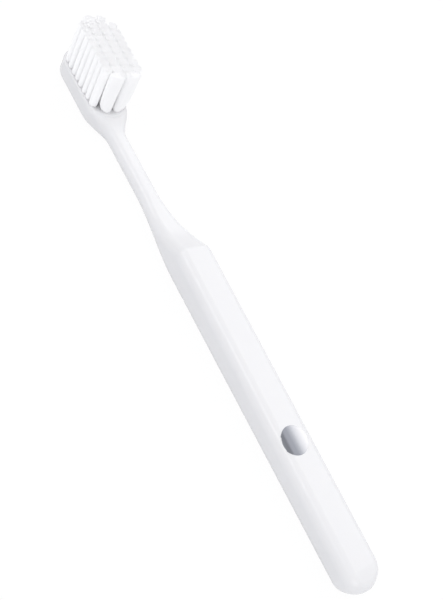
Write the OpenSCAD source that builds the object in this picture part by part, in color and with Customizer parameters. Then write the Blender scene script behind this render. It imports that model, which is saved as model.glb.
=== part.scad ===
// Manual toothbrush: a one-piece moulded handle with a slim neck, a round-ended
// head plate, and bristle tufts that are each folded round a metal anchor and
// pressed into a blind hole. The brush lies on its flat back, bristles up.
// X runs from the butt to the toe of the head, Y across and Z up, in millimetres.

/* [Handle] */
// Overall length, butt to toe
total_length = 172.5; // [150:0.5:200]
// Width at the butt end of the grip
butt_width = 11.4; // [10:0.1:13]
// Thickness at the butt end of the grip
butt_thickness = 8; // [7:0.1:9]
// Width at the shoulder, where the thumb ramp starts
shoulder_width = 11.4; // [10:0.1:13]
// Thickness at the shoulder
shoulder_thickness = 10.4; // [8:0.1:11]
// Distance of the shoulder from the butt
shoulder_x = 94.3; // [80:0.1:100]
// Radius of the grip's long edges
grip_edge_radius = 2.7; // [1.5:0.1:3.2]
// Radius of the butt's corners, seen from the front
butt_corner_radius = 5.2; // [3:0.1:5.4]
// Length over which the front curves down at the butt
butt_front_length = 5; // [2:0.1:7]
// How far the front curves down at the butt
butt_front_depth = 3; // [1:0.1:3.2]
// Length over which the back curves up at the butt
butt_back_length = 5; // [2:0.1:7]
// How high the back curves up at the butt
butt_back_height = 4.2; // [2:0.1:4.3]

/* [Thumb ramp] */
// Length of the hollow ramp from the shoulder down to the neck
ramp_length = 21; // [14:0.5:26]
// How hollow the ramp is: 1 is straight, more is deeper
ramp_power_share = 2.2; // [1.2:0.1:3]
// Length over which the sides draw in to the neck
waist_length = 29; // [20:0.5:34]
// How far the waist starts before the shoulder
waist_lead = 3.5; // [1:0.5:6]

/* [Neck] */
// Width of the neck
neck_width = 6; // [5:0.1:7]
// Thickness of the neck
neck_thickness = 4.6; // [4:0.1:5.2]
// Radius of the neck's long edges
neck_edge_radius = 2.3; // [1.5:0.1:2.4]
// How far before the head plate the neck starts to flare
flare_lead = 5.6; // [4:0.1:8]
// How far beside the head plate the flare runs on, to its full width
flare_run = 4.9; // [3:0.1:6]
// How far beside the head plate the flare's front runs on, to its full height
flare_rise_run = 2.4; // [0:0.1:4]
// Step from the flare's front up to the plate's front
heel_step = 0.1; // [0.05:0.05:1]
// Step from the flare's side out to the plate's side
heel_inset = 0.13; // [0.05:0.01:0.3]

/* [Head plate] */
// Length of the head plate
plate_length = 27.9; // [27:0.1:32]
// Width of the head plate
plate_width = 13.5; // [13:0.1:15]
// Thickness of the head plate
plate_thickness = 5.6; // [5:0.1:6]
// Height of the plate's back above the flat back of the grip
plate_lift = 0.8; // [0.3:0.1:1.2]
// Rounding of the plate's front rim
front_rim_radius = 0.45; // [0.2:0.05:0.6]
// Rounding of the plate's back rim
back_rim_radius = 1.4; // [0.6:0.1:2]

/* [Tufts] */
// Number of tufts in each outer column
outer_tufts = 8; // [6:1:8]
// Tufts that each inner column has beyond the outer ones, shared between its ends
inner_extra_tufts = 2; // [0:2:2]
// Distance between tufts along the head
tuft_pitch_x = 2.48; // [2.3:0.01:2.5]
// Distance between tuft columns
tuft_pitch_y = 3.3; // [2.8:0.05:3.3]
// Diameter of the holes that hold the tufts
hole_diameter = 2; // [1.7:0.05:2]
// Depth of the holes
hole_depth = 3.5; // [3:0.1:3.8]
// Height of the tufts above the plate
tuft_height = 13.6; // [9:0.1:15]
// Strands in a tuft
tuft_strands = 12; // [8:1:12]
// Thickness of a strand, across its corners
strand_thickness = 0.3; // [0.2:0.01:0.3]
// How much a tuft spreads from root to tip, as a share of its radius
tuft_spread_share = 0.25; // [0:0.01:0.28]

/* [Anchors] */
// Thickness of the metal anchor plate across the fold of a tuft
anchor_thickness = 0.25; // [0.2:0.01:0.3]
// Height of an anchor
anchor_height = 1.4; // [1:0.1:1.6]
// How far each end of an anchor bites into the wall of its hole
anchor_bite = 0.15; // [0.1:0.01:0.25]
// Height of the folded strands under an anchor
fold_height = 0.7; // [0.5:0.05:1]

/* [Fit] */
// Clearance of a tuft's root and of an anchor in the seats that hold them
fit_clearance = 0.03; // [0.02:0.01:0.05]
// Depth of the root's end below the plate's front face
root_recess = 0.25; // [0.1:0.05:0.4]

/* [Hidden] */

// Steps round each corner of the grip's cross-section
corner_steps = 8;
// Rings along the rounded butt, the ramp, the neck and the flare
butt_rings = 9;
grip_rings = 4;
ramp_rings = 12;
neck_rings = 4;
flare_rings = 12;
// Steps round each half-round end of the plate, and up each of its rims
plate_end_steps = 24;
rim_steps = 4;
// Sides of a strand and of the round holes
strand_sides = 4;
hole_sides = 32;
// Angle between one strand and the next in the spiral that fills a tuft evenly
spiral_angle = 137.5;
// Turn of one tuft's spiral against its neighbour's
tuft_turn = 47;

// Shares that keep a flat between the butt's roundings
butt_corner_limit_share = 0.92;
butt_round_limit_share = 0.92;

// Shares that place the tuft field and the strands
field_back_shift_share = 0.01;
strand_sink_share = 1.5;

// Places along the brush, measured from the butt
waist_start_x = shoulder_x - waist_lead;
waist_end_x = waist_start_x + waist_length;
ramp_end_x = shoulder_x + ramp_length;
plate_heel_x = total_length - plate_length;
flare_start_x = plate_heel_x - flare_lead;
plate_front_z = plate_lift + plate_thickness;
plate_end_radius = plate_width / 2;
shaft_end_x = plate_heel_x + plate_end_radius;

// The butt's roundings, held to what its width and thickness have room for
butt_corner = min(butt_corner_radius, butt_width / 2 * butt_corner_limit_share);
butt_room_share =
    min(1, butt_thickness * butt_round_limit_share / (butt_front_depth + butt_back_height));
butt_front_drop = butt_front_depth * butt_room_share;
butt_back_rise = butt_back_height * butt_room_share;

// The tuft field: its columns, its place and the number of tufts in each column
columns = 4;
field_x = plate_heel_x + plate_length / 2 - plate_length * field_back_shift_share;
inner_tufts = outer_tufts + inner_extra_tufts;
hole_floor_z = plate_front_z - hole_depth;
root_radius = hole_diameter / 2 - fit_clearance;
spiral_radius = root_radius - strand_thickness / 2;
anchor_length = hole_diameter + 2 * anchor_bite;
anchor_floor_z = hole_floor_z + fit_clearance + fold_height;
root_top_z = plate_front_z - root_recess;
tip_z = plate_front_z + tuft_height;

function tufts_in(column) = column == 0 || column == columns - 1 ? outer_tufts : inner_tufts;
function tuft_x(column, i) = field_x + (i - (tufts_in(column) - 1) / 2) * tuft_pitch_x;
function tuft_y(column) = ((columns - 1) / 2 - column) * tuft_pitch_y;
function tuft_name(column, i) = str("tuft_", column + 1, "_", i + 1);

// Smooth step from 0 to 1, flat at both ends
function ease(t) = let (c = min(max(t, 0), 1)) c * c * (3 - 2 * c);
// Inset, at the distance d from the tip, of an end rounded over a length and a depth
function rounding(d, length, depth) =
    d >= length ? 0 : depth * (1 - sqrt(1 - pow(1 - d / length, 2)));
// How far the neck has flared into the head at x, when it is full run past the heel
function flared(x, run) = ease((x - flare_start_x) / (flare_lead + run));

// Half width of the handle at x
function grip_half_width(x) =
    (butt_width + (shoulder_width - butt_width) * min(x / shoulder_x, 1)) / 2;
function half_width(x) =
    let (
        grip = grip_half_width(x) - rounding(x, butt_corner, butt_corner),
        neck = neck_width / 2,
        waist = grip + (neck - grip) * ease((x - waist_start_x) / waist_length)
    )
    waist + (plate_end_radius - heel_inset - neck) * flared(x, flare_run);

// Height of the handle's front at x: the grip, the hollow ramp, the neck and its flare
function front_z(x) =
    x <= shoulder_x
    ? butt_thickness + (shoulder_thickness - butt_thickness) * x / shoulder_x
        - rounding(x, butt_front_length, butt_front_drop)
    : neck_thickness + (shoulder_thickness - neck_thickness)
        * pow(max(0, (ramp_end_x - x) / ramp_length), ramp_power_share)
        + (plate_front_z - heel_step - neck_thickness) * flared(x, flare_rise_run);

// Height of the handle's back at x: flat, curved up at the butt and lifted to the plate
function back_z(x) =
    rounding(x, butt_back_length, butt_back_rise) + plate_lift * flared(x, flare_run);

// Radius of the long edges at x
function edge_radius(x) =
    let (
        blend = ease((x - waist_start_x) / waist_length),
        slim = grip_edge_radius + (neck_edge_radius - grip_edge_radius) * blend,
        wanted = slim + (back_rim_radius - neck_edge_radius) * flared(x, flare_run),
        room = min(half_width(x), (front_z(x) - back_z(x)) / 2)
    )
    min(wanted, room * (1 - 1 / (2 * corner_steps)));

// Places of the rings, from the butt to the end inside the head plate
function spread(from, to, n) = [for (i = [0:n - 1]) from + (to - from) * i / n];
ring_places = concat(
    [for (i = [0:butt_rings - 1]) butt_corner * (1 - cos(90 * i / butt_rings))],
    spread(butt_corner, waist_start_x, grip_rings),
    spread(waist_start_x, shoulder_x, 2),
    spread(shoulder_x, waist_end_x, ramp_rings),
    spread(waist_end_x, flare_start_x, neck_rings),
    spread(flare_start_x, shaft_end_x, flare_rings),
    [shaft_end_x]
);

// One rounded cross-section of the handle, as a ring of points
function section(x) =
    let (
        r = edge_radius(x),
        a = half_width(x) - r,
        low = back_z(x) + r,
        high = front_z(x) - r
    )
    [for (corner = [0:3]) for (step = [0:corner_steps])
        let (
            angle = 90 * (corner + step / corner_steps),
            y = corner == 0 || corner == 3 ? a : -a,
            z = corner < 2 ? high : low
        )
        [x, y + r * cos(angle), z + r * sin(angle)]];

// A closed skin over a stack of rings that all have the same number of points
module skin(rings) {
    n = len(rings[0]);
    last = len(rings) - 1;
    polyhedron(
        points = [for (ring = rings) for (p = ring) p],
        faces = concat(
            [[for (j = [0:n - 1]) j]],
            [for (i = [0:last - 1]) for (j = [0:n - 1])
                let (k = (j + 1) % n) [i * n + j, (i + 1) * n + j, (i + 1) * n + k]],
            [for (i = [0:last - 1]) for (j = [0:n - 1])
                let (k = (j + 1) % n) [i * n + j, (i + 1) * n + k, i * n + k]],
            [[for (j = [n - 1:-1:0]) last * n + j]]
        )
    );
}

// Outline of the head plate, drawn in by inset, as a ring of points at height z
function plate_ring(inset, z) =
    let (r = plate_end_radius - inset)
    [for (side = [0, 1]) for (step = [0:plate_end_steps])
        let (
            angle = 180 * side - 90 + 180 * step / plate_end_steps,
            centre = side == 0 ? total_length - plate_end_radius : plate_heel_x + plate_end_radius
        )
        [centre + r * cos(angle), r * sin(angle), z]];

// Rings of the plate from its back to its front, with both rims rounded
plate_rings = concat(
    [for (i = [0:rim_steps])
        let (a = 90 * i / rim_steps)
        plate_ring(back_rim_radius * (1 - sin(a)), plate_lift + back_rim_radius * (1 - cos(a)))],
    [for (i = [0:rim_steps])
        let (a = 90 * i / rim_steps)
        plate_ring(front_rim_radius * (1 - cos(a)), plate_front_z - front_rim_radius * (1 - sin(a)))]
);

// Puts a piece drawn from the butt into the part's frame
module centred() {
    translate([-total_length / 2, 0, 0]) children();
}

module at_tuft(column, i) {
    translate([tuft_x(column, i), tuft_y(column), 0]) children();
}

// One flat metal anchor, grown by grow on every side
module anchor_plate(grow) {
    translate([0, 0, anchor_floor_z + anchor_height / 2])
        cube([
            anchor_thickness + 2 * grow,
            anchor_length + 2 * grow,
            anchor_height + 2 * grow
        ], center = true);
}

// The hole of one tuft, with the notches that its anchor bites into the wall
module tuft_hole() {
    translate([0, 0, hole_floor_z])
        cylinder(d = hole_diameter, h = hole_depth + root_recess, $fn = hole_sides);
    anchor_plate(fit_clearance);
}

// The moulded handle: grip, thumb ramp, neck and head plate in one piece
module handle() {
    color("white") centred() difference() {
        union() {
            skin([for (x = ring_places) section(x)]);
            skin(plate_rings);
        }
        for (column = [0:columns - 1]) for (i = [0:tufts_in(column) - 1])
            at_tuft(column, i) tuft_hole();
    }
}

// The anchors: one flat plate across the fold of every tuft
module tuft_anchors() {
    color("lightgray") centred()
        for (column = [0:columns - 1]) for (i = [0:tufts_in(column) - 1])
            at_tuft(column, i) anchor_plate(0);
}

// One strand, from inside the root to the tip, leaning out by its place in the tuft
module strand(radius) {
    foot_z = root_top_z - strand_thickness * strand_sink_share;
    lean = atan(radius * tuft_spread_share / (tip_z - foot_z));
    translate([radius, 0, foot_z]) rotate([0, lean, 0])
        cylinder(d = strand_thickness, h = tip_z - foot_z, $fn = strand_sides);
}

// One tuft: the folded root round its anchor, and the strands that rise from it
module tuft(column, i) {
    turn = tuft_turn * (column * inner_tufts + i);
    color("ghostwhite") centred() at_tuft(column, i) {
        difference() {
            translate([0, 0, hole_floor_z + fit_clearance])
                cylinder(r = root_radius, h = root_top_z - hole_floor_z - fit_clearance, $fn = hole_sides);
            anchor_plate(fit_clearance);
        }
        for (k = [0:tuft_strands - 1])
            rotate([0, 0, turn + k * spiral_angle])
                strand(spiral_radius * sqrt((k + 0.5) / tuft_strands));
    }
}

handle();
tuft_anchors();
for (column = [0:columns - 1]) for (i = [0:tufts_in(column) - 1])
    tuft(column, i);
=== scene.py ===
# A manual toothbrush lying on its flat back, dressed in its real materials.
import math

import bpy
import numpy as np
from mathutils import Matrix, Vector


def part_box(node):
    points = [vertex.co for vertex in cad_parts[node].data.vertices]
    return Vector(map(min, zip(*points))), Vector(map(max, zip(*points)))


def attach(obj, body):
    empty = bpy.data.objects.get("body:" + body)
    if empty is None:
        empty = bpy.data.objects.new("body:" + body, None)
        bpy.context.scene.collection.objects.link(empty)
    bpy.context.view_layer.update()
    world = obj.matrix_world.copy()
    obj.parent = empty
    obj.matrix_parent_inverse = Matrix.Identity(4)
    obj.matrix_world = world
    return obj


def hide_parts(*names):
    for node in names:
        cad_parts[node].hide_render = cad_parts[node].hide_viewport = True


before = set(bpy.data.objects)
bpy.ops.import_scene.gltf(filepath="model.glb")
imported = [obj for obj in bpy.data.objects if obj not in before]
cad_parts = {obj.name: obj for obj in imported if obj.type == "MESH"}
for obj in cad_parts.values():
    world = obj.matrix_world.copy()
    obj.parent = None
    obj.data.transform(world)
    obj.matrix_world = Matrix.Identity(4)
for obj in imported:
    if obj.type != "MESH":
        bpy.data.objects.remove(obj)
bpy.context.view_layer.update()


# Handle. One injection moulding of glossy white polypropylene: a rounded grip, a hollow
# thumb ramp, a slim neck that flares into the head, and the plate that holds the tufts.
# It is meshed from the same sections as the solid, only finer.
MM = 0.001

# The grip and its rounded butt
butt_width = 11.4 * MM
butt_thickness = 8 * MM
shoulder_width = 11.4 * MM
shoulder_along = 94.3 * MM
grip_edge_radius = 2.7 * MM
butt_corner = 5.2 * MM
butt_front_length = 5 * MM
butt_front_depth = 3 * MM
butt_back_length = 5 * MM
butt_back_height = 4.2 * MM
front_crown = 0.25 * MM

# The thumb ramp and the waist beside it
ramp_length = 21 * MM
ramp_power = 2.2
waist_start = 90.8 * MM
waist_length = 29 * MM
shoulder_softness = 0.35 * MM

# The neck and its flare into the head
neck_width = 6 * MM
neck_thickness = 4.6 * MM
neck_edge_radius = 2.3 * MM
flare_lead = 5.6 * MM
flare_run = 4.9 * MM
flare_rise_run = 2.4 * MM
heel_step = 0.1 * MM
heel_inset = 0.13 * MM

# The head plate
plate_length = 27.9 * MM
plate_back_z = 0.8 * MM
plate_front_z = 6.4 * MM
front_rim_radius = 0.45 * MM
back_rim_radius = 1.4 * MM
heel_fillet = 0.3 * MM

# Shares that keep a flat at the butt's tip and between the rounded long edges
butt_tip_share = 0.985
edge_room_share = 0.94

# Places that follow from these and from the solid
handle_low, handle_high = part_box("handle")
butt_x = handle_low.x
toe_along = handle_high.x - handle_low.x
plate_end_radius = (handle_high.y - handle_low.y) / 2
shoulder_thickness = handle_high.z - handle_low.z
heel_along = toe_along - plate_length
flare_start = heel_along - flare_lead
shaft_end = heel_along + plate_end_radius


def ease(t):
    """Smooth step from 0 to 1, flat at both ends."""
    t = np.clip(t, 0, 1)
    return t * t * (3 - 2 * t)


def rounding(along, length, depth):
    """Inset of the rounded butt. The last hair's breadth of its tip stays flat."""
    toward_tip = np.clip(1 - along / length, 0, butt_tip_share)
    return depth * (1 - np.sqrt(1 - toward_tip * toward_tip))


def flared(along, run):
    """How far the neck has flared into the head, which is full run past the heel."""
    return ease((along - flare_start) / (flare_lead + run))


def slimmed(along):
    """How far the grip has drawn in to the neck."""
    return ease((along - waist_start) / waist_length)


def half_width(along):
    share = np.clip(along / shoulder_along, 0, 1)
    grip = (butt_width + (shoulder_width - butt_width) * share) / 2
    grip = grip - rounding(along, butt_corner, butt_corner)
    waist = grip + (neck_width / 2 - grip) * slimmed(along)
    return waist + (plate_end_radius - heel_inset - neck_width / 2) * flared(along, flare_run)


def front_height(along):
    grip = butt_thickness + (shoulder_thickness - butt_thickness) * along / shoulder_along
    grip = grip - rounding(along, butt_front_length, butt_front_depth)
    fall = np.clip((shoulder_along + ramp_length - along) / ramp_length, 0, None)
    ramp = neck_thickness + (shoulder_thickness - neck_thickness) * fall**ramp_power
    meet = np.clip(shoulder_softness - np.abs(grip - ramp), 0, None) / shoulder_softness
    lower = np.minimum(grip, ramp) - meet * meet * shoulder_softness / 4
    return lower + (plate_front_z - heel_step - neck_thickness) * flared(along, flare_rise_run)


def back_height(along):
    curl = rounding(along, butt_back_length, butt_back_height)
    return curl + plate_back_z * flared(along, flare_run)


def edge_radius(along):
    """Radius of the long edges, held to what the section has room for."""
    radius = grip_edge_radius + (neck_edge_radius - grip_edge_radius) * slimmed(along)
    radius = radius + (back_rim_radius - neck_edge_radius) * flared(along, flare_run)
    room = np.minimum(half_width(along), (front_height(along) - back_height(along)) / 2)
    return np.minimum(radius, edge_room_share * room)


def crowned(along, across, radius):
    """How far the front falls from its middle line to its edges."""
    reach = np.clip(np.abs(across) / np.maximum(half_width(along), radius), 0, 1)
    return front_crown * reach * reach * (1 - flared(along, flare_run))


def moulded_distance(plan, z, low, high, low_radius, high_radius):
    """Distance to a flat form with rounded rims, from its distance in plan."""
    middle = (low + high) / 2
    radius = np.where(z < middle, low_radius, high_radius)
    across = plan + radius
    above = np.abs(z - middle) - (high - low) / 2 + radius
    outside = np.hypot(np.maximum(across, 0), np.maximum(above, 0))
    return outside + np.minimum(np.maximum(across, above), 0) - radius


def handle_distance(points):
    """Distance to the whole moulding: the shaft from butt to flare, and the head plate."""
    along, y, z = points[:, 0] - butt_x, points[:, 1], points[:, 2]
    radius = edge_radius(along)
    low = back_height(along)
    high = front_height(along) - crowned(along, y, radius)
    shaft = moulded_distance(np.abs(y) - half_width(along), z, low, high, radius, radius)
    shaft = np.maximum(shaft, np.maximum(-along, along - shaft_end))
    centre = np.clip(along, heel_along + plate_end_radius, toe_along - plate_end_radius)
    plan = np.hypot(along - centre, y) - plate_end_radius
    plate = moulded_distance(
        plan, z, plate_back_z, plate_front_z, back_rim_radius, front_rim_radius
    )
    near = np.maximum(heel_fillet - np.abs(shaft - plate), 0) / heel_fillet
    return np.minimum(shaft, plate) - near * near * heel_fillet / 4


# A rough blank of the handle, which is skinned evenly and then settled on its true form
voxel = 0.28 * MM
settle_rounds = 8
settle_probe = 0.01 * MM
least_slope = 0.25
ring_corner_steps = 5
butt_rings = 24
first_butt_turn = 0.02
shaft_rings = 260
shaft_after_butt = 1.05
plate_steps = 32
blank_middle_inset = 0.2 * MM


def settle(points):
    """Moves points onto the moulding's surface along its slope."""
    for _ in range(settle_rounds):
        here = handle_distance(points)
        slope = np.stack(
            [
                (handle_distance(points + settle_probe * axis) - here) / settle_probe
                for axis in np.eye(3)
            ],
            1,
        )
        steep = np.maximum((slope * slope).sum(1), least_slope)
        step = np.clip(here / steep, -voxel / 2, voxel / 2)
        points = points - step[:, None] * slope
    return points


def shaft_ring(along):
    """One rounded cross-section of the grip, ramp, neck or flare."""
    radius = float(edge_radius(along))
    across = float(half_width(along)) - radius
    low = float(back_height(along)) + radius
    high = float(front_height(along)) - radius
    ring = []
    for corner, (side, z) in enumerate(((1, high), (-1, high), (-1, low), (1, low))):
        for i in range(ring_corner_steps + 1):
            turn = math.pi / 2 * (corner + i / ring_corner_steps)
            y = side * across + radius * math.cos(turn)
            ring.append((butt_x + along, y, z + radius * math.sin(turn)))
    return ring


def plate_ring(z, inset):
    """The head plate's outline, drawn in by inset."""
    radius = plate_end_radius - inset
    ring = []
    for side, centre in ((0, toe_along - plate_end_radius), (1, heel_along + plate_end_radius)):
        for i in range(plate_steps + 1):
            turn = math.pi * (side - 0.5 + i / plate_steps)
            ring.append((butt_x + centre + radius * math.cos(turn), radius * math.sin(turn), z))
    return ring


def block_out(mesh, rings):
    """Adds a closed skin over rings of points to lists of points and faces."""
    points, faces = mesh
    start = len(points)
    count = len(rings[0])
    points.extend(p for ring in rings for p in ring)
    faces.append([start + j for j in range(count)][::-1])
    for i in range(len(rings) - 1):
        row = start + i * count
        for j in range(count):
            k = (j + 1) % count
            faces.append([row + j, row + k, row + count + k, row + count + j])
    faces.append([start + (len(rings) - 1) * count + j for j in range(count)])


def mesh_object(name, points, faces):
    """Makes an object of points and faces, and puts it in the scene."""
    mesh = bpy.data.meshes.new(name)
    mesh.from_pydata([tuple(p) for p in points], [], faces)
    mesh.update()
    made = bpy.data.objects.new(name, mesh)
    bpy.context.scene.collection.objects.link(made)
    return made


def bake_modifiers(obj):
    """Replaces an object's mesh with the one its modifiers make."""
    graph = bpy.context.evaluated_depsgraph_get()
    result = bpy.data.meshes.new_from_object(obj.evaluated_get(graph))
    obj.modifiers.clear()
    obj.data = result


blank = ([], [])
butt_turns = np.linspace(first_butt_turn, math.pi / 2, butt_rings)
butt_places = butt_corner * (1 - np.cos(butt_turns))
shaft_places = np.linspace(butt_corner * shaft_after_butt, shaft_end, shaft_rings)
block_out(blank, [shaft_ring(a)[::-1] for a in np.concatenate([butt_places, shaft_places])])
block_out(
    blank,
    [
        plate_ring(plate_back_z, back_rim_radius),
        plate_ring(plate_back_z + back_rim_radius / 2, blank_middle_inset),
        plate_ring(plate_front_z, front_rim_radius / 2),
    ],
)
handle = mesh_object("moulded_handle", *blank)
remesh = handle.modifiers.new("skin", "REMESH")
remesh.mode = "VOXEL"
remesh.voxel_size = voxel
bake_modifiers(handle)
skin_points = np.empty(len(handle.data.vertices) * 3)
handle.data.vertices.foreach_get("co", skin_points)
handle.data.vertices.foreach_set("co", settle(skin_points.reshape(-1, 3)).ravel())
handle.data.update()

# Its blind holes, one for each tuft. In the outer columns the middle ones stand a little
# further out than in the solid, as if the columns were bowed.
hole_radius = 1.02 * MM
hole_depth = 3.5 * MM
hole_sides = 32
cutter_rise = 1 * MM
tuft_pitch_x = 2.48 * MM
tuft_pitch_y = 3.3 * MM
outer_bow = 0.3 * MM
bow_fall = 1.5
sharp_edge = math.radians(40)
tuft_names = sorted(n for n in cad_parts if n.startswith("tuft_") and n != "tuft_anchors")
tuft_boxes = {name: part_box(name) for name in tuft_names}
field_low = min(low.x for low, high in tuft_boxes.values())
field_high = max(high.x for low, high in tuft_boxes.values())
field_x = (field_low + field_high) / 2
field_reach = field_high - field_x


def bowed(x, y):
    """How far outward a tuft at a place in the solid stands here."""
    if abs(y) < tuft_pitch_y:
        return 0
    end = (x - field_x) / field_reach
    return math.copysign(outer_bow * max(0, 1 - bow_fall * end**2), y)


tuft_feet = {}
for name, (low, high) in tuft_boxes.items():
    x, y = (low.x + high.x) / 2, (low.y + high.y) / 2
    tuft_feet[name] = (x, y + bowed(x, y))

bores = ([], [])
for x, y in tuft_feet.values():
    turns = [math.tau * k / hole_sides for k in range(hole_sides)]
    block_out(
        bores,
        [
            [(x + hole_radius * math.cos(t), y + hole_radius * math.sin(t), z) for t in turns]
            for z in (plate_front_z - hole_depth, plate_front_z + cutter_rise)
        ],
    )
cutter = mesh_object("hole_cutter", *bores)
bore = handle.modifiers.new("holes", "BOOLEAN")
bore.operation = "DIFFERENCE"
bore.solver = "EXACT"
bore.object = cutter
bake_modifiers(handle)
bpy.data.objects.remove(cutter)
handle.data.shade_smooth()
handle.data.set_sharp_from_angle(angle=sharp_edge)


def linear(code):
    """Turns an sRGB hex value into linear light."""
    parts = [int(code[i : i + 2], 16) / 255 for i in (1, 3, 5)]
    return tuple(p / 12.92 if p <= 0.04045 else ((p + 0.055) / 1.055) ** 2.4 for p in parts) + (1.0,)


def add(tree, kind, inputs=None, **settings):
    """Adds a node with its settings, and sets or links its inputs."""
    made = tree.nodes.new(kind)
    for key, value in settings.items():
        setattr(made, key, value)
    for key, value in (inputs or {}).items():
        if isinstance(value, bpy.types.NodeSocket):
            tree.links.new(value, made.inputs[key])
        else:
            made.inputs[key].default_value = value
    return made


def new_material(name):
    """Makes an empty material, and gives it and its node tree."""
    made = bpy.data.materials.new(name)
    made.use_nodes = True
    made.node_tree.nodes.clear()
    return made, made.node_tree


# Moulded polypropylene, pressed against a polished mould: bright and glossy, with the
# faint flow ripple and the very slight cloudiness of a white filled plastic.
flow_ripple = 4 * MM
flow_stretch = (0.35, 1, 1)
mould_grain = 0.35 * MM
cloud = 14 * MM
polypropylene, tree = new_material("moulded_polypropylene")
on_handle = add(tree, "ShaderNodeTexCoord").outputs["Object"]
stretched = add(tree, "ShaderNodeMapping", {"Vector": on_handle, "Scale": flow_stretch})
ripple = add(
    tree,
    "ShaderNodeTexNoise",
    {"Vector": stretched.outputs[0], "Scale": 1 / flow_ripple, "Detail": 2.0, "Roughness": 0.4},
)
grain = add(
    tree, "ShaderNodeTexNoise", {"Vector": on_handle, "Scale": 1 / mould_grain, "Detail": 3.0}
)
clouds = add(
    tree, "ShaderNodeTexNoise", {"Vector": stretched.outputs[0], "Scale": 1 / cloud, "Detail": 3.0}
)
tint = add(
    tree,
    "ShaderNodeMix",
    {"Factor": clouds.outputs["Fac"], "A": linear("#E9E9EA"), "B": linear("#E5E5E7")},
    data_type="RGBA",
)
polish = add(
    tree, "ShaderNodeMapRange", {"Value": clouds.outputs["Fac"], "To Min": 0.16, "To Max": 0.24}
)
fine = add(
    tree,
    "ShaderNodeBump",
    {"Height": grain.outputs["Fac"], "Strength": 0.04, "Distance": 0.01 * MM},
)
bumps = add(
    tree,
    "ShaderNodeBump",
    {
        "Height": ripple.outputs["Fac"],
        "Strength": 0.25,
        "Distance": 0.02 * MM,
        "Normal": fine.outputs["Normal"],
    },
)
moulded_skin = add(
    tree,
    "ShaderNodeBsdfPrincipled",
    {
        "Base Color": tint.outputs["Result"],
        "Roughness": polish.outputs["Result"],
        "IOR": 1.49,
        "Subsurface Weight": 0.12,
        "Subsurface Radius": (1.0, 0.95, 0.9),
        "Subsurface Scale": 1.2 * MM,
        "Normal": bumps.outputs["Normal"],
    },
)
add(tree, "ShaderNodeOutputMaterial", {"Surface": moulded_skin.outputs["BSDF"]})
handle.data.materials.clear()
handle.data.materials.append(polypropylene)
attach(handle, "root")
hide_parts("handle")


# Round mark. A plain disc of silver foil, hot-stamped onto the front of the grip, and
# hardly proud of it. Its colour fades from pewter to pale silver across the disc: a
# painted reflection of darker surroundings on one side and bright ones on the other.
foil_radius = 3.85 * MM
foil_along = 37.5 * MM
foil_off_middle = 0.85 * MM
foil_lift = 0.015 * MM
foil_edge_share = 0.2
foil_rings = 10
foil_sides = 96


def on_front(along, across):
    """Point on the grip at a distance along it and round its front from the middle."""
    radius = float(edge_radius(along))
    flat = float(half_width(along)) - radius
    height = float(front_height(along) - crowned(along, across, radius))
    bend = max(abs(across) - flat, 0) / radius
    side = math.copysign(min(abs(across), flat) + radius * math.sin(bend), across)
    return (butt_x + along, side, height - radius * (1 - math.cos(bend)))


foil_points = []
for i in range(foil_rings + 1):
    for k in range(foil_sides if i else 1):
        turn = math.tau * k / foil_sides
        reach = foil_radius * i / foil_rings
        x, y, z = on_front(
            foil_along + reach * math.cos(turn), foil_off_middle + reach * math.sin(turn)
        )
        foil_points.append((x, y, z + foil_lift * (foil_edge_share if i == foil_rings else 1)))
foil_faces = [(0, 1 + k, 1 + (k + 1) % foil_sides) for k in range(foil_sides)]
for i in range(foil_rings - 1):
    inner, outer = 1 + i * foil_sides, 1 + (i + 1) * foil_sides
    for k in range(foil_sides):
        n = (k + 1) % foil_sides
        foil_faces.append((inner + k, outer + k, outer + n, inner + n))
foil = mesh_object("foil_disc", foil_points, foil_faces)
foil.data.shade_smooth()

# Hot-stamping foil: a film of aluminium under clear lacquer, smooth and bright, with a
# painted reflection that fades from dark to bright across the disc, broken up by a fine speckle.
foil_speckle = 0.5 * MM
speckle_share = 0.12
reflection_start = -0.94
reflection_end = 1.06
# Colours of the painted reflection, from its dark side to its bright side
painted_reflection_colours = ((0.38, "#7F8188"), (0.5, "#8F9197"), (0.64, "#AAABB0"), (0.82, "#BDBDC0"))
stamped_foil, tree = new_material("hot_stamped_aluminium_foil")
on_foil = add(tree, "ShaderNodeTexCoord").outputs["Object"]
from_middle = add(
    tree,
    "ShaderNodeVectorMath",
    {0: on_foil, 1: (butt_x + foil_along, foil_off_middle, 0)},
    operation="SUBTRACT",
)
# A sweep across the disc that lays the painted reflection, dark on one side and bright on the other
reflection_sweep = add(
    tree,
    "ShaderNodeVectorMath",
    {0: from_middle.outputs[0], 1: (0, -1 / foil_radius, 0)},
    operation="DOT_PRODUCT",
)
speckle = add(
    tree, "ShaderNodeTexNoise", {"Vector": on_foil, "Scale": 1 / foil_speckle, "Detail": 3.0}
)
speckled_reflection = add(
    tree,
    "ShaderNodeMath",
    {0: speckle.outputs["Fac"], 1: speckle_share, 2: reflection_sweep.outputs["Value"]},
    operation="MULTIPLY_ADD",
)
spread = add(
    tree,
    "ShaderNodeMapRange",
    {"Value": speckled_reflection.outputs[0], "From Min": reflection_start, "From Max": reflection_end},
)
# The ramp paints the reflection into the foil's own colour
shine = add(tree, "ShaderNodeValToRGB", {"Fac": spread.outputs["Result"]})
shine.color_ramp.elements[0].color = linear("#7F8188")
shine.color_ramp.elements[1].color = linear("#C9C9CA")
for where, code in painted_reflection_colours:
    shine.color_ramp.elements.new(where).color = linear(code)
foil_skin = add(
    tree,
    "ShaderNodeBsdfPrincipled",
    {"Base Color": shine.outputs["Color"], "Metallic": 1.0, "Roughness": 0.28},
)
add(tree, "ShaderNodeOutputMaterial", {"Surface": foil_skin.outputs["BSDF"]})
foil.data.materials.append(stamped_foil)
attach(foil, "root")


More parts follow.
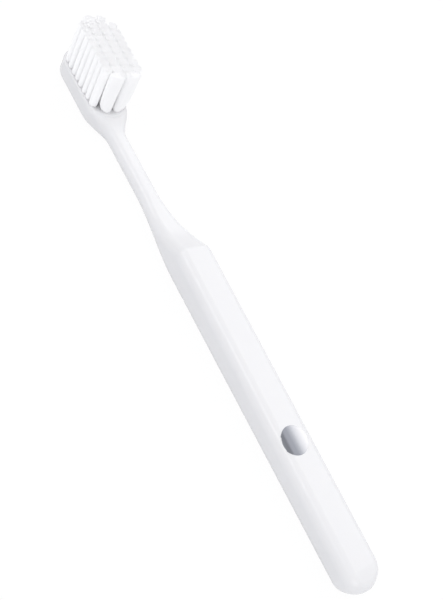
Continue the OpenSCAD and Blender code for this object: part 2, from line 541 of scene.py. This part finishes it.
# Tufts. Bundles of fine white nylon filaments, folded in half at the root and stapled
# into the holes. They spread as they rise, and are trimmed flat with each end ground
# round. A white core stands for the crowd of filaments inside, which can't be told apart.
filaments = 100
filament_radius = 0.1 * MM
filament_sides = 5
core_sides = 24
root_depth = 2.2 * MM
root_slack = 0.06 * MM
golden_turn = math.radians(137.508)
strand_edge = math.radians(80)

# Places of a strand's rings, as shares of its length: closest where it leaves its hole
ring_shares = (0, 0.139, 0.152, 0.17, 0.2, 0.3, 0.45, 0.62, 0.8, 0.985)
ground_tip_girth = 0.5
core_top_girth = 0.86
core_share = 0.95
core_drop = 0.33 * MM

# Spread between neighbours: a quick swell at the hole's mouth, then a steady widening.
# The tufts press on each other there, which squares them a little toward their tips.
mouth_swell = 0.26
mouth_rise = 0.06
spread_x = 0.18
spread_y = 0.42
squareness = 0.32

# Spread on the sides where no tuft stands
free_swell = 0.38
free_rise = 0.02
free_spread_x = 0.15
free_spread_y = 0.16
toe_splay = 0.25
heel_splay = 0.5
heel_fan = 2.3
toe_fan = 0.8
fan_rise = 0.11
toe_place = 0.85
neighbour_reach = 1 * MM

# Lean of all the tufts, and the scatter of single filaments
toe_lean = 0.6 * MM
heel_lean = 0.15 * MM
side_lean = 0.42 * MM
end_lean = 0.1 * MM
trim_scatter = 0.1 * MM
lean_scatter = 0.05 * MM
rng = np.random.default_rng(7)


def free_sides(foot, spot):
    """Whether no tuft stands next to the spot's side of its own, along and across."""
    beside = (
        (foot[0] + math.copysign(tuft_pitch_x, spot[0]), foot[1]),
        (foot[0], foot[1] + math.copysign(tuft_pitch_y, spot[1])),
    )
    return [
        min(math.dist(place, other) for other in tuft_feet.values()) > neighbour_reach
        for place in beside
    ]


def spread_spot(foot, spot, rise):
    """Where a spot of a tuft's root has moved to, at a share of the way up to its tips."""
    free_x, free_y = free_sides(foot, spot)
    outer = abs(foot[1]) > tuft_pitch_y
    end = (foot[0] - field_x) / field_reach
    swell = free_swell * (1 - math.exp(-rise / free_rise))
    fanned = 1 - math.exp(-rise / fan_rise)
    widen_x = mouth_swell * (1 - math.exp(-rise / mouth_rise)) + spread_x * rise
    if free_x:
        widen_x = swell + (toe_splay if end > toe_place else free_spread_x) * rise
    if free_x and outer and end < 0:
        widen_x += heel_splay * fanned
    widen_y = swell + (free_spread_y if free_y else spread_y) * rise
    if free_y and not outer:
        widen_y += (toe_fan if end > 0 else heel_fan) * fanned
    squared = 1
    if not (free_x or free_y):
        across = max(abs(spot[0]), abs(spot[1]), 1e-9)
        squared = 1 + squareness * rise * (math.hypot(*spot) / across - 1)
    x = foot[0] + spot[0] * squared * (1 + widen_x) + (toe_lean - heel_lean * end) * rise
    y = foot[1] + spot[1] * squared * (1 + widen_y) - (side_lean + end_lean * end) * rise
    return x, y - bowed(*foot) * rise


def rise_at(z, tip_z):
    """Share of the way from the plate's front up to the tips."""
    return max(0.0, (z - plate_front_z) / (tip_z - plate_front_z))


def filament_rings_at(foot, spot, tip_z):
    """Rings of one filament, from inside its hole to its tip, ground round."""
    start = plate_front_z - root_depth
    end = tip_z - abs(rng.normal(0, trim_scatter))
    lean = rng.normal(0, lean_scatter, 2)
    turns = [math.tau * k / filament_sides for k in range(filament_sides)]
    rings = []
    for share, girth in [(t, 1) for t in ring_shares] + [(1, ground_tip_girth)]:
        z = start + (end - start) * share
        rise = rise_at(z, tip_z)
        x, y = spread_spot(foot, spot, rise)
        x, y = x + lean[0] * rise, y + lean[1] * rise
        reach = filament_radius * girth
        rings.append([(x + reach * math.cos(a), y + reach * math.sin(a), z) for a in turns])
    return rings


def core_rings_at(foot, tip_z):
    """Rings round the middle of a tuft, where the filaments lie side by side."""
    start, end = plate_front_z - root_depth, tip_z - core_drop
    turns = [math.tau * k / core_sides for k in range(core_sides)]
    rings = []
    for share, girth in [(t, 1) for t in ring_shares] + [(1, core_top_girth)]:
        z = start + (end - start) * share
        rise = rise_at(z, tip_z)
        reach = (hole_radius - root_slack) * core_share * girth
        spots = [(reach * math.cos(a), reach * math.sin(a)) for a in turns]
        rings.append([(*spread_spot(foot, spot, rise), z) for spot in spots])
    return rings


def tuft_of(name, foot, tip_z):
    """One tuft: its core, and filaments in a spiral that fills its round root evenly."""
    points, faces = [], []
    block_out((points, faces), core_rings_at(foot, tip_z))
    reach = hole_radius - root_slack - filament_radius
    turn = rng.uniform(0, math.tau)
    for k in range(filaments):
        out = reach * math.sqrt((k + 0.5) / filaments)
        spot = (out * math.cos(turn + k * golden_turn), out * math.sin(turn + k * golden_turn))
        block_out((points, faces), filament_rings_at(foot, spot, tip_z))
    made = mesh_object(name, points, faces)
    made.data.shade_smooth()
    made.data.set_sharp_from_angle(angle=strand_edge)
    return made


# Drawn nylon filament, filled with white pigment: bright and dense, with a soft satin
# shine along it and hardly any difference from one strand to the next.
strand_patch = 0.8 * MM
nylon, tree = new_material("drawn_nylon_filament")
on_strand = add(tree, "ShaderNodeTexCoord").outputs["Object"]
patches = add(
    tree, "ShaderNodeTexNoise", {"Vector": on_strand, "Scale": 1 / strand_patch, "Detail": 2.0}
)
white = add(
    tree,
    "ShaderNodeMix",
    {"Factor": patches.outputs["Fac"], "A": linear("#FEFEFE"), "B": linear("#FBFBFC")},
    data_type="RGBA",
)
strand_skin = add(
    tree,
    "ShaderNodeBsdfPrincipled",
    {
        "Base Color": white.outputs["Result"],
        "Roughness": 0.35,
        "Diffuse Roughness": 1.0,
        "IOR": 1.53,
        "Sheen Weight": 0.2,
        "Sheen Roughness": 0.4,
    },
)
add(tree, "ShaderNodeOutputMaterial", {"Surface": strand_skin.outputs["BSDF"]})
for name in tuft_names:
    tuft = tuft_of(name.replace("tuft", "filaments"), tuft_feet[name], tuft_boxes[name][1].z)
    tuft.data.materials.append(nylon)
    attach(tuft, "root")
    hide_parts(name)


# Anchors. Small plates cut from rolled brass strip, one driven across the fold of each
# tuft. They sit deep in the holes, so the solids stay and only get their finish here.

# Rolled brass strip: a warm yellow metal with fine dull lines along the strip.
rolling_line = 0.1 * MM
rolling_stretch = (1, 0.1, 1)
brass, tree = new_material("rolled_brass_strip")
on_anchor = add(tree, "ShaderNodeTexCoord").outputs["Object"]
drawn_out = add(tree, "ShaderNodeMapping", {"Vector": on_anchor, "Scale": rolling_stretch})
rolling = add(
    tree,
    "ShaderNodeTexNoise",
    {"Vector": drawn_out.outputs[0], "Scale": 1 / rolling_line, "Detail": 2.0},
)
dulled = add(
    tree, "ShaderNodeMapRange", {"Value": rolling.outputs["Fac"], "To Min": 0.25, "To Max": 0.45}
)
strip = add(
    tree,
    "ShaderNodeBsdfPrincipled",
    {"Base Color": linear("#C9B37A"), "Metallic": 1.0, "Roughness": dulled.outputs["Result"]},
)
add(tree, "ShaderNodeOutputMaterial", {"Surface": strip.outputs["BSDF"]})
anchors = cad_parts["tuft_anchors"]
anchors.data.materials.clear()
anchors.data.materials.append(brass)


# Camera. A near view from over the left edge of the brush, turned so that the head is
# at the upper left of the picture and the butt at the lower right.
view_azimuth = math.radians(117.79)
view_elevation = math.radians(47.37)
view_roll = math.radians(40.08)
view_distance = 192.7 * MM
view_target = Vector((-6.23, -3.56, 4.7)) * MM
view_sensor = 36.0
view_lens = 42.85
view_back = Vector(
    (
        math.cos(view_elevation) * math.cos(view_azimuth),
        math.cos(view_elevation) * math.sin(view_azimuth),
        math.sin(view_elevation),
    )
)
view_side = Vector((0, 0, 1)).cross(view_back).normalized()
camera = bpy.data.objects.new("camera", bpy.data.cameras.new("camera"))
camera.data.sensor_width = view_sensor
camera.data.lens = view_lens
camera.data.clip_start = 1 * MM
camera.data.clip_end = 20.0
upright = Matrix((view_side, view_back.cross(view_side), view_back)).transposed()
rolled = upright @ Matrix.Rotation(view_roll, 3, "Z")
camera.matrix_world = Matrix.Translation(view_target + view_back * view_distance) @ rolled.to_4x4()
bpy.context.scene.collection.objects.link(camera)
bpy.context.scene.camera = camera


# Floor. A matt white table under the brush that the camera sees as plain white, with a
# trace of the brush's soft shadow left on it.
floor_reach = 1.5
floor_drop = 0.02 * MM
floor_white_share = 0.93
floor_glow = 1.02


def plainly_seen(tree):
    """Socket that is 1 for the camera's rays and those of reflections, and 0 for light."""
    path = add(tree, "ShaderNodeLightPath")
    seen = add(
        tree,
        "ShaderNodeMath",
        {0: path.outputs["Is Camera Ray"], 1: path.outputs["Is Glossy Ray"]},
        operation="MAXIMUM",
    )
    shown = add(
        tree,
        "ShaderNodeMath",
        {0: seen.outputs[0], 1: path.outputs["Is Transmission Ray"]},
        operation="MAXIMUM",
    )
    return shown.outputs[0]


floor_corners = [(x * floor_reach, y * floor_reach) for x, y in ((-1, -1), (1, -1), (1, 1), (-1, 1))]
floor = mesh_object("floor", [(x, y, -floor_drop) for x, y in floor_corners], [(0, 1, 2, 3)])
table_white, tree = new_material("floor_white")
share = add(
    tree, "ShaderNodeMath", {0: plainly_seen(tree), 1: floor_white_share}, operation="MULTIPLY"
)
matt = add(tree, "ShaderNodeBsdfDiffuse", {"Color": linear("#E2E3E5")})
glow = add(tree, "ShaderNodeEmission", {"Color": (1, 1, 1, 1), "Strength": floor_glow})
mixed = add(
    tree, "ShaderNodeMixShader", {0: share.outputs[0], 1: matt.outputs[0], 2: glow.outputs[0]}
)
add(tree, "ShaderNodeOutputMaterial", {"Surface": mixed.outputs[0]})
floor.data.materials.append(table_white)


# Room. An even white light from all round, a little stronger from above. The camera and
# reflections see it as plain white.
low_light = 0.78
high_light = 0.93
high_place = 0.9
world = bpy.data.worlds.new("white_room")
world.use_nodes = True
tree = world.node_tree
tree.nodes.clear()
aim = add(tree, "ShaderNodeTexCoord")
split = add(tree, "ShaderNodeSeparateXYZ", {"Vector": aim.outputs["Generated"]})
upward = add(
    tree,
    "ShaderNodeMapRange",
    {
        "Value": split.outputs["Z"],
        "From Min": 0.0,
        "From Max": high_place,
        "To Min": low_light,
        "To Max": high_light,
    },
)
room = add(
    tree,
    "ShaderNodeBackground",
    {"Color": linear("#F3F3F5"), "Strength": upward.outputs["Result"]},
)
wall = add(tree, "ShaderNodeBackground", {"Color": (1, 1, 1, 1), "Strength": 1.0})
both = add(
    tree, "ShaderNodeMixShader", {0: plainly_seen(tree), 1: room.outputs[0], 2: wall.outputs[0]}
)
add(tree, "ShaderNodeOutputWorld", {"Surface": both.outputs[0]})
bpy.context.scene.world = world


# Lamps. A broad soft key from the right of the brush, a narrow strip from the left that
# picks out its edges, and a soft fill from behind its butt.
def softbox(name, direction, distance, size, power):
    """A soft lamp that looks at the brush's middle, with its first side along the brush."""
    lamp = bpy.data.lights.new(name, "AREA")
    lamp.shape = "RECTANGLE"
    lamp.size, lamp.size_y = size
    lamp.energy = power
    made = bpy.data.objects.new(name, lamp)
    back = Vector(direction).normalized()
    side = Vector((1, 0, 0))
    side = (side - back * side.dot(back)).normalized()
    facing = Matrix((side, back.cross(side), back)).transposed()
    made.matrix_world = Matrix.Translation(back * distance) @ facing.to_4x4()
    bpy.context.scene.collection.objects.link(made)


softbox("key_softbox", (0.35, -0.66, 0.66), 1.2, (1.5, 0.8), 3.7)
softbox("edge_strip", (0.3, 0.57, 0.76), 1.0, (1.0, 0.16), 1.9)
softbox("fill_softbox", (-0.85, 0.33, 0.45), 1.2, (0.8, 0.6), 2.1)

bpy.context.scene.view_settings.view_transform = "Standard"
